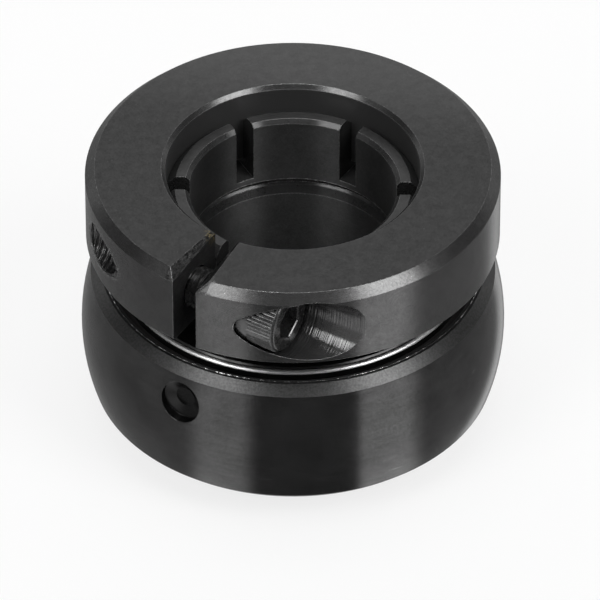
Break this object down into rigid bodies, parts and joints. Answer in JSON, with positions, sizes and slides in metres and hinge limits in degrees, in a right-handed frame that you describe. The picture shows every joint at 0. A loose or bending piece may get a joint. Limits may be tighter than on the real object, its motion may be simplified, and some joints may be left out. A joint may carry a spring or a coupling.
{
  "type": "insert bearing",
  "caption": "Ball bearing insert with a spherical outer ring and an extended, slotted inner ring that a split clamp collar locks to a shaft.",
  "frame": {"origin": "centre of the outer ring's sphere, on the bore axis", "axes": "+Z along the bore axis towards the clamp collar, -Y towards the camera of the picture"},
  "size_m": [0.062, 0.0626, 0.0425],
  "materials": {
    "ring_steel": "black oxide, satin",
    "collar_steel": "black oxide, satin",
    "screw_steel": "black oxide, satin",
    "ball_steel": "polished",
    "sheet_steel": "black oxide, satin",
    "cage_plastic": "moulded nylon",
    "felt": "oiled felt"
  },
  "bodies": {
    "outer": {"outer_ring": "ring_steel", "front_seal_cap": "sheet_steel", "back_seal_cap": "sheet_steel", "front_felt": "felt", "back_felt": "felt"},
    "inner": {"inner_ring": "ring_steel", "front_flinger": "sheet_steel", "back_flinger": "sheet_steel"},
    "cage": {"cage": "cage_plastic"},
    "ball_1": {"ball_1": "ball_steel"},
    "ball_2": {"ball_2": "ball_steel"},
    "ball_3": {"ball_3": "ball_steel"},
    "ball_4": {"ball_4": "ball_steel"},
    "ball_5": {"ball_5": "ball_steel"},
    "ball_6": {"ball_6": "ball_steel"},
    "ball_7": {"ball_7": "ball_steel"},
    "ball_8": {"ball_8": "ball_steel"},
    "ball_9": {"ball_9": "ball_steel"},
    "collar": {"clamp_collar": "collar_steel"},
    "screw": {"clamp_screw": "screw_steel"}
  },
  "joints": [
    {"name": "inner_spin", "type": "hinge", "parent": "outer", "child": "inner", "pos_m": [0, 0, 0], "axis": [0, 0, 1], "continuous": true},
    {"name": "cage_spin", "type": "hinge", "parent": "outer", "child": "cage", "pos_m": [0, 0, 0], "axis": [0, 0, 1], "continuous": true},
    {"name": "collar_turn", "type": "hinge", "parent": "inner", "child": "collar", "pos_m": [0, 0, 0.0221], "axis": [0, 0, 1], "continuous": true},
    {"name": "screw_turn", "type": "hinge", "parent": "collar", "child": "screw", "pos_m": [-0.0124, -0.02055, 0.02195], "axis": [0.8563, -0.5165, 0], "range_deg": [0, 720]},
    {"name": "ball_1_spin", "type": "hinge", "parent": "cage", "child": "ball_1", "pos_m": [0.02265, 0.00399, 0], "axis": [0, 0, 1], "continuous": true},
    {"name": "ball_2_spin", "type": "hinge", "parent": "cage", "child": "ball_2", "pos_m": [0.01478, 0.01762, 0], "axis": [0, 0, 1], "continuous": true},
    {"name": "ball_3_spin", "type": "hinge", "parent": "cage", "child": "ball_3", "pos_m": [0, 0.023, 0], "axis": [0, 0, 1], "continuous": true},
    {"name": "ball_4_spin", "type": "hinge", "parent": "cage", "child": "ball_4", "pos_m": [-0.01478, 0.01762, 0], "axis": [0, 0, 1], "continuous": true},
    {"name": "ball_5_spin", "type": "hinge", "parent": "cage", "child": "ball_5", "pos_m": [-0.02265, 0.00399, 0], "axis": [0, 0, 1], "continuous": true},
    {"name": "ball_6_spin", "type": "hinge", "parent": "cage", "child": "ball_6", "pos_m": [-0.01992, -0.0115, 0], "axis": [0, 0, 1], "continuous": true},
    {"name": "ball_7_spin", "type": "hinge", "parent": "cage", "child": "ball_7", "pos_m": [-0.00787, -0.02161, 0], "axis": [0, 0, 1], "continuous": true},
    {"name": "ball_8_spin", "type": "hinge", "parent": "cage", "child": "ball_8", "pos_m": [0.00787, -0.02161, 0], "axis": [0, 0, 1], "continuous": true},
    {"name": "ball_9_spin", "type": "hinge", "parent": "cage", "child": "ball_9", "pos_m": [0.01992, -0.0115, 0], "axis": [0, 0, 1], "continuous": true}
  ],
  "couplings": [
    {"joint": "cage_spin", "follows": "inner_spin", "ratio": 0.3965},
    {"joint": "ball_1_spin", "follows": "inner_spin", "ratio": -2.3112},
    {"joint": "ball_2_spin", "follows": "inner_spin", "ratio": -2.3112},
    {"joint": "ball_3_spin", "follows": "inner_spin", "ratio": -2.3112},
    {"joint": "ball_4_spin", "follows": "inner_spin", "ratio": -2.3112},
    {"joint": "ball_5_spin", "follows": "inner_spin", "ratio": -2.3112},
    {"joint": "ball_6_spin", "follows": "inner_spin", "ratio": -2.3112},
    {"joint": "ball_7_spin", "follows": "inner_spin", "ratio": -2.3112},
    {"joint": "ball_8_spin", "follows": "inner_spin", "ratio": -2.3112},
    {"joint": "ball_9_spin", "follows": "inner_spin", "ratio": -2.3112}
  ]
}
